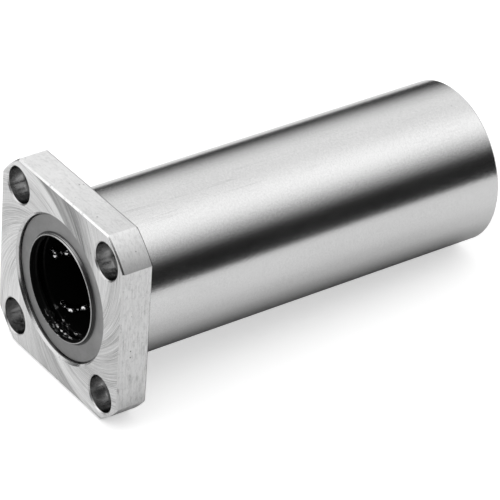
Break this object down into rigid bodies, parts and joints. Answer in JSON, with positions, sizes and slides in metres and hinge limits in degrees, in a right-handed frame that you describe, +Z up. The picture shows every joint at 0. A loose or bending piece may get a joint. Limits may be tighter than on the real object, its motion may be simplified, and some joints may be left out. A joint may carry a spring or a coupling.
{
  "type": "flanged linear bearing",
  "caption": "Long linear ball bearing for a round shaft, with a square screw-on flange at one end, wiper seals at both ends and closed ball circuits inside.",
  "frame": {"origin": "on the shaft's axis, at the flange's seat face, which is its back face", "axes": "+Y along the shaft's axis from the flange towards the cylinder's far end, +Z up and +X to the side, both square with the flange's flats"},
  "size_m": [0.05, 0.112, 0.05],
  "materials": {
    "bearing_steel": "ground",
    "retainer_resin": "moulded",
    "seal_plate_steel": "satin",
    "seal_rubber": "satin",
    "spring_steel": "oiled",
    "ball_steel": "polished"
  },
  "bodies": {
    "housing": {"flanged_outer_cylinder": "bearing_steel", "ball_retainer_front": "retainer_resin", "ball_retainer_rear": "retainer_resin", "seal_plate_front": "seal_plate_steel", "seal_plate_rear": "seal_plate_steel", "seal_lip_front": "seal_rubber", "seal_lip_rear": "seal_rubber", "snap_ring_front": "spring_steel", "snap_ring_rear": "spring_steel"},
    "front_1_loaded": {"balls_front_1_loaded": "ball_steel"},
    "front_1_return": {"balls_front_1_return": "ball_steel"},
    "front_1_end_turn": {"balls_front_1_end_turn": "ball_steel"},
    "front_1_middle_turn": {"balls_front_1_middle_turn": "ball_steel"},
    "front_2_loaded": {"balls_front_2_loaded": "ball_steel"},
    "front_2_return": {"balls_front_2_return": "ball_steel"},
    "front_2_end_turn": {"balls_front_2_end_turn": "ball_steel"},
    "front_2_middle_turn": {"balls_front_2_middle_turn": "ball_steel"},
    "front_3_loaded": {"balls_front_3_loaded": "ball_steel"},
    "front_3_return": {"balls_front_3_return": "ball_steel"},
    "front_3_end_turn": {"balls_front_3_end_turn": "ball_steel"},
    "front_3_middle_turn": {"balls_front_3_middle_turn": "ball_steel"},
    "front_4_loaded": {"balls_front_4_loaded": "ball_steel"},
    "front_4_return": {"balls_front_4_return": "ball_steel"},
    "front_4_end_turn": {"balls_front_4_end_turn": "ball_steel"},
    "front_4_middle_turn": {"balls_front_4_middle_turn": "ball_steel"},
    "front_5_loaded": {"balls_front_5_loaded": "ball_steel"},
    "front_5_return": {"balls_front_5_return": "ball_steel"},
    "front_5_end_turn": {"balls_front_5_end_turn": "ball_steel"},
    "front_5_middle_turn": {"balls_front_5_middle_turn": "ball_steel"},
    "front_6_loaded": {"balls_front_6_loaded": "ball_steel"},
    "front_6_return": {"balls_front_6_return": "ball_steel"},
    "front_6_end_turn": {"balls_front_6_end_turn": "ball_steel"},
    "front_6_middle_turn": {"balls_front_6_middle_turn": "ball_steel"},
    "rear_1_loaded": {"balls_rear_1_loaded": "ball_steel"},
    "rear_1_return": {"balls_rear_1_return": "ball_steel"},
    "rear_1_end_turn": {"balls_rear_1_end_turn": "ball_steel"},
    "rear_1_middle_turn": {"balls_rear_1_middle_turn": "ball_steel"},
    "rear_2_loaded": {"balls_rear_2_loaded": "ball_steel"},
    "rear_2_return": {"balls_rear_2_return": "ball_steel"},
    "rear_2_end_turn": {"balls_rear_2_end_turn": "ball_steel"},
    "rear_2_middle_turn": {"balls_rear_2_middle_turn": "ball_steel"},
    "rear_3_loaded": {"balls_rear_3_loaded": "ball_steel"},
    "rear_3_return": {"balls_rear_3_return": "ball_steel"},
    "rear_3_end_turn": {"balls_rear_3_end_turn": "ball_steel"},
    "rear_3_middle_turn": {"balls_rear_3_middle_turn": "ball_steel"},
    "rear_4_loaded": {"balls_rear_4_loaded": "ball_steel"},
    "rear_4_return": {"balls_rear_4_return": "ball_steel"},
    "rear_4_end_turn": {"balls_rear_4_end_turn": "ball_steel"},
    "rear_4_middle_turn": {"balls_rear_4_middle_turn": "ball_steel"},
    "rear_5_loaded": {"balls_rear_5_loaded": "ball_steel"},
    "rear_5_return": {"balls_rear_5_return": "ball_steel"},
    "rear_5_end_turn": {"balls_rear_5_end_turn": "ball_steel"},
    "rear_5_middle_turn": {"balls_rear_5_middle_turn": "ball_steel"},
    "rear_6_loaded": {"balls_rear_6_loaded": "ball_steel"},
    "rear_6_return": {"balls_rear_6_return": "ball_steel"},
    "rear_6_end_turn": {"balls_rear_6_end_turn": "ball_steel"},
    "rear_6_middle_turn": {"balls_rear_6_middle_turn": "ball_steel"}
  },
  "joints": [
    {"name": "front_1_loaded_travel", "type": "slide", "parent": "housing", "child": "front_1_loaded", "axis": [0, 1, 0], "range_m": [-0.00169, 0.00169]},
    {"name": "front_1_return_travel", "type": "slide", "parent": "housing", "child": "front_1_return", "axis": [0, 1, 0], "range_m": [-0.00169, 0.00169]},
    {"name": "front_1_end_turn_travel", "type": "hinge", "parent": "housing", "child": "front_1_end_turn", "pos_m": [0.01433, 0.00174, -0.00187], "axis": [0.9954, 0, 0.0958], "range_deg": [-30, 30]},
    {"name": "front_1_middle_turn_travel", "type": "hinge", "parent": "housing", "child": "front_1_middle_turn", "pos_m": [0.01433, 0.04236, -0.00187], "axis": [0.9954, 0, 0.0958], "range_deg": [-30, 30]},
    {"name": "front_2_loaded_travel", "type": "slide", "parent": "housing", "child": "front_2_loaded", "axis": [0, 1, 0], "range_m": [-0.00169, 0.00169]},
    {"name": "front_2_return_travel", "type": "slide", "parent": "housing", "child": "front_2_return", "axis": [0, 1, 0], "range_m": [-0.00169, 0.00169]},
    {"name": "front_2_end_turn_travel", "type": "hinge", "parent": "housing", "child": "front_2_end_turn", "pos_m": [0.00878, 0.00174, 0.01148], "axis": [0.4147, 0, 0.91], "range_deg": [-30, 30]},
    {"name": "front_2_middle_turn_travel", "type": "hinge", "parent": "housing", "child": "front_2_middle_turn", "pos_m": [0.00878, 0.04236, 0.01148], "axis": [0.4147, 0, 0.91], "range_deg": [-30, 30]},
    {"name": "front_3_loaded_travel", "type": "slide", "parent": "housing", "child": "front_3_loaded", "axis": [0, 1, 0], "range_m": [-0.00169, 0.00169]},
    {"name": "front_3_return_travel", "type": "slide", "parent": "housing", "child": "front_3_return", "axis": [0, 1, 0], "range_m": [-0.00169, 0.00169]},
    {"name": "front_3_end_turn_travel", "type": "hinge", "parent": "housing", "child": "front_3_end_turn", "pos_m": [-0.00555, 0.00174, 0.01335], "axis": [-0.5807, 0, 0.8141], "range_deg": [-30, 30]},
    {"name": "front_3_middle_turn_travel", "type": "hinge", "parent": "housing", "child": "front_3_middle_turn", "pos_m": [-0.00555, 0.04236, 0.01335], "axis": [-0.5807, 0, 0.8141], "range_deg": [-30, 30]},
    {"name": "front_4_loaded_travel", "type": "slide", "parent": "housing", "child": "front_4_loaded", "axis": [0, 1, 0], "range_m": [-0.00169, 0.00169]},
    {"name": "front_4_return_travel", "type": "slide", "parent": "housing", "child": "front_4_return", "axis": [0, 1, 0], "range_m": [-0.00169, 0.00169]},
    {"name": "front_4_end_turn_travel", "type": "hinge", "parent": "housing", "child": "front_4_end_turn", "pos_m": [-0.01433, 0.00174, 0.00187], "axis": [-0.9954, 0, -0.0958], "range_deg": [-30, 30]},
    {"name": "front_4_middle_turn_travel", "type": "hinge", "parent": "housing", "child": "front_4_middle_turn", "pos_m": [-0.01433, 0.04236, 0.00187], "axis": [-0.9954, 0, -0.0958], "range_deg": [-30, 30]},
    {"name": "front_5_loaded_travel", "type": "slide", "parent": "housing", "child": "front_5_loaded", "axis": [0, 1, 0], "range_m": [-0.00169, 0.00169]},
    {"name": "front_5_return_travel", "type": "slide", "parent": "housing", "child": "front_5_return", "axis": [0, 1, 0], "range_m": [-0.00169, 0.00169]},
    {"name": "front_5_end_turn_travel", "type": "hinge", "parent": "housing", "child": "front_5_end_turn", "pos_m": [-0.00878, 0.00174, -0.01148], "axis": [-0.4147, 0, -0.91], "range_deg": [-30, 30]},
    {"name": "front_5_middle_turn_travel", "type": "hinge", "parent": "housing", "child": "front_5_middle_turn", "pos_m": [-0.00878, 0.04236, -0.01148], "axis": [-0.4147, 0, -0.91], "range_deg": [-30, 30]},
    {"name": "front_6_loaded_travel", "type": "slide", "parent": "housing", "child": "front_6_loaded", "axis": [0, 1, 0], "range_m": [-0.00169, 0.00169]},
    {"name": "front_6_return_travel", "type": "slide", "parent": "housing", "child": "front_6_return", "axis": [0, 1, 0], "range_m": [-0.00169, 0.00169]},
    {"name": "front_6_end_turn_travel", "type": "hinge", "parent": "housing", "child": "front_6_end_turn", "pos_m": [0.00555, 0.00174, -0.01335], "axis": [0.5807, 0, -0.8141], "range_deg": [-30, 30]},
    {"name": "front_6_middle_turn_travel", "type": "hinge", "parent": "housing", "child": "front_6_middle_turn", "pos_m": [0.00555, 0.04236, -0.01335], "axis": [0.5807, 0, -0.8141], "range_deg": [-30, 30]},
    {"name": "rear_1_loaded_travel", "type": "slide", "parent": "housing", "child": "rear_1_loaded", "axis": [0, 1, 0], "range_m": [-0.00169, 0.00169]},
    {"name": "rear_1_return_travel", "type": "slide", "parent": "housing", "child": "rear_1_return", "axis": [0, 1, 0], "range_m": [-0.00169, 0.00169]},
    {"name": "rear_1_end_turn_travel", "type": "hinge", "parent": "housing", "child": "rear_1_end_turn", "pos_m": [0.01433, 0.09426, -0.00187], "axis": [0.9954, 0, 0.0958], "range_deg": [-30, 30]},
    {"name": "rear_1_middle_turn_travel", "type": "hinge", "parent": "housing", "child": "rear_1_middle_turn", "pos_m": [0.01433, 0.05364, -0.00187], "axis": [0.9954, 0, 0.0958], "range_deg": [-30, 30]},
    {"name": "rear_2_loaded_travel", "type": "slide", "parent": "housing", "child": "rear_2_loaded", "axis": [0, 1, 0], "range_m": [-0.00169, 0.00169]},
    {"name": "rear_2_return_travel", "type": "slide", "parent": "housing", "child": "rear_2_return", "axis": [0, 1, 0], "range_m": [-0.00169, 0.00169]},
    {"name": "rear_2_end_turn_travel", "type": "hinge", "parent": "housing", "child": "rear_2_end_turn", "pos_m": [0.00878, 0.09426, 0.01148], "axis": [0.4147, 0, 0.91], "range_deg": [-30, 30]},
    {"name": "rear_2_middle_turn_travel", "type": "hinge", "parent": "housing", "child": "rear_2_middle_turn", "pos_m": [0.00878, 0.05364, 0.01148], "axis": [0.4147, 0, 0.91], "range_deg": [-30, 30]},
    {"name": "rear_3_loaded_travel", "type": "slide", "parent": "housing", "child": "rear_3_loaded", "axis": [0, 1, 0], "range_m": [-0.00169, 0.00169]},
    {"name": "rear_3_return_travel", "type": "slide", "parent": "housing", "child": "rear_3_return", "axis": [0, 1, 0], "range_m": [-0.00169, 0.00169]},
    {"name": "rear_3_end_turn_travel", "type": "hinge", "parent": "housing", "child": "rear_3_end_turn", "pos_m": [-0.00555, 0.09426, 0.01335], "axis": [-0.5807, 0, 0.8141], "range_deg": [-30, 30]},
    {"name": "rear_3_middle_turn_travel", "type": "hinge", "parent": "housing", "child": "rear_3_middle_turn", "pos_m": [-0.00555, 0.05364, 0.01335], "axis": [-0.5807, 0, 0.8141], "range_deg": [-30, 30]},
    {"name": "rear_4_loaded_travel", "type": "slide", "parent": "housing", "child": "rear_4_loaded", "axis": [0, 1, 0], "range_m": [-0.00169, 0.00169]},
    {"name": "rear_4_return_travel", "type": "slide", "parent": "housing", "child": "rear_4_return", "axis": [0, 1, 0], "range_m": [-0.00169, 0.00169]},
    {"name": "rear_4_end_turn_travel", "type": "hinge", "parent": "housing", "child": "rear_4_end_turn", "pos_m": [-0.01433, 0.09426, 0.00187], "axis": [-0.9954, 0, -0.0958], "range_deg": [-30, 30]},
    {"name": "rear_4_middle_turn_travel", "type": "hinge", "parent": "housing", "child": "rear_4_middle_turn", "pos_m": [-0.01433, 0.05364, 0.00187], "axis": [-0.9954, 0, -0.0958], "range_deg": [-30, 30]},
    {"name": "rear_5_loaded_travel", "type": "slide", "parent": "housing", "child": "rear_5_loaded", "axis": [0, 1, 0], "range_m": [-0.00169, 0.00169]},
    {"name": "rear_5_return_travel", "type": "slide", "parent": "housing", "child": "rear_5_return", "axis": [0, 1, 0], "range_m": [-0.00169, 0.00169]},
    {"name": "rear_5_end_turn_travel", "type": "hinge", "parent": "housing", "child": "rear_5_end_turn", "pos_m": [-0.00878, 0.09426, -0.01148], "axis": [-0.4147, 0, -0.91], "range_deg": [-30, 30]},
    {"name": "rear_5_middle_turn_travel", "type": "hinge", "parent": "housing", "child": "rear_5_middle_turn", "pos_m": [-0.00878, 0.05364, -0.01148], "axis": [-0.4147, 0, -0.91], "range_deg": [-30, 30]},
    {"name": "rear_6_loaded_travel", "type": "slide", "parent": "housing", "child": "rear_6_loaded", "axis": [0, 1, 0], "range_m": [-0.00169, 0.00169]},
    {"name": "rear_6_return_travel", "type": "slide", "parent": "housing", "child": "rear_6_return", "axis": [0, 1, 0], "range_m": [-0.00169, 0.00169]},
    {"name": "rear_6_end_turn_travel", "type": "hinge", "parent": "housing", "child": "rear_6_end_turn", "pos_m": [0.00555, 0.09426, -0.01335], "axis": [0.5807, 0, -0.8141], "range_deg": [-30, 30]},
    {"name": "rear_6_middle_turn_travel", "type": "hinge", "parent": "housing", "child": "rear_6_middle_turn", "pos_m": [0.00555, 0.05364, -0.01335], "axis": [0.5807, 0, -0.8141], "range_deg": [-30, 30]}
  ],
  "couplings": [
    {"joint": "front_1_return_travel", "follows": "front_1_loaded_travel", "ratio": -1},
    {"joint": "front_1_end_turn_travel", "follows": "front_1_loaded_travel", "rad_per_m": -309.36},
    {"joint": "front_1_middle_turn_travel", "follows": "front_1_loaded_travel", "rad_per_m": -309.36},
    {"joint": "front_2_loaded_travel", "follows": "front_1_loaded_travel", "ratio": 1},
    {"joint": "front_2_return_travel", "follows": "front_1_loaded_travel", "ratio": -1},
    {"joint": "front_2_end_turn_travel", "follows": "front_1_loaded_travel", "rad_per_m": -309.36},
    {"joint": "front_2_middle_turn_travel", "follows": "front_1_loaded_travel", "rad_per_m": -309.36},
    {"joint": "front_3_loaded_travel", "follows": "front_1_loaded_travel", "ratio": 1},
    {"joint": "front_3_return_travel", "follows": "front_1_loaded_travel", "ratio": -1},
    {"joint": "front_3_end_turn_travel", "follows": "front_1_loaded_travel", "rad_per_m": -309.36},
    {"joint": "front_3_middle_turn_travel", "follows": "front_1_loaded_travel", "rad_per_m": -309.36},
    {"joint": "front_4_loaded_travel", "follows": "front_1_loaded_travel", "ratio": 1},
    {"joint": "front_4_return_travel", "follows": "front_1_loaded_travel", "ratio": -1},
    {"joint": "front_4_end_turn_travel", "follows": "front_1_loaded_travel", "rad_per_m": -309.36},
    {"joint": "front_4_middle_turn_travel", "follows": "front_1_loaded_travel", "rad_per_m": -309.36},
    {"joint": "front_5_loaded_travel", "follows": "front_1_loaded_travel", "ratio": 1},
    {"joint": "front_5_return_travel", "follows": "front_1_loaded_travel", "ratio": -1},
    {"joint": "front_5_end_turn_travel", "follows": "front_1_loaded_travel", "rad_per_m": -309.36},
    {"joint": "front_5_middle_turn_travel", "follows": "front_1_loaded_travel", "rad_per_m": -309.36},
    {"joint": "front_6_loaded_travel", "follows": "front_1_loaded_travel", "ratio": 1},
    {"joint": "front_6_return_travel", "follows": "front_1_loaded_travel", "ratio": -1},
    {"joint": "front_6_end_turn_travel", "follows": "front_1_loaded_travel", "rad_per_m": -309.36},
    {"joint": "front_6_middle_turn_travel", "follows": "front_1_loaded_travel", "rad_per_m": -309.36},
    {"joint": "rear_1_loaded_travel", "follows": "front_1_loaded_travel", "ratio": 1},
    {"joint": "rear_1_return_travel", "follows": "front_1_loaded_travel", "ratio": -1},
    {"joint": "rear_1_end_turn_travel", "follows": "front_1_loaded_travel", "rad_per_m": -309.36},
    {"joint": "rear_1_middle_turn_travel", "follows": "front_1_loaded_travel", "rad_per_m": -309.36},
    {"joint": "rear_2_loaded_travel", "follows": "front_1_loaded_travel", "ratio": 1},
    {"joint": "rear_2_return_travel", "follows": "front_1_loaded_travel", "ratio": -1},
    {"joint": "rear_2_end_turn_travel", "follows": "front_1_loaded_travel", "rad_per_m": -309.36},
    {"joint": "rear_2_middle_turn_travel", "follows": "front_1_loaded_travel", "rad_per_m": -309.36},
    {"joint": "rear_3_loaded_travel", "follows": "front_1_loaded_travel", "ratio": 1},
    {"joint": "rear_3_return_travel", "follows": "front_1_loaded_travel", "ratio": -1},
    {"joint": "rear_3_end_turn_travel", "follows": "front_1_loaded_travel", "rad_per_m": -309.36},
    {"joint": "rear_3_middle_turn_travel", "follows": "front_1_loaded_travel", "rad_per_m": -309.36},
    {"joint": "rear_4_loaded_travel", "follows": "front_1_loaded_travel", "ratio": 1},
    {"joint": "rear_4_return_travel", "follows": "front_1_loaded_travel", "ratio": -1},
    {"joint": "rear_4_end_turn_travel", "follows": "front_1_loaded_travel", "rad_per_m": -309.36},
    {"joint": "rear_4_middle_turn_travel", "follows": "front_1_loaded_travel", "rad_per_m": -309.36},
    {"joint": "rear_5_loaded_travel", "follows": "front_1_loaded_travel", "ratio": 1},
    {"joint": "rear_5_return_travel", "follows": "front_1_loaded_travel", "ratio": -1},
    {"joint": "rear_5_end_turn_travel", "follows": "front_1_loaded_travel", "rad_per_m": -309.36},
    {"joint": "rear_5_middle_turn_travel", "follows": "front_1_loaded_travel", "rad_per_m": -309.36},
    {"joint": "rear_6_loaded_travel", "follows": "front_1_loaded_travel", "ratio": 1},
    {"joint": "rear_6_return_travel", "follows": "front_1_loaded_travel", "ratio": -1},
    {"joint": "rear_6_end_turn_travel", "follows": "front_1_loaded_travel", "rad_per_m": -309.36},
    {"joint": "rear_6_middle_turn_travel", "follows": "front_1_loaded_travel", "rad_per_m": -309.36}
  ]
}
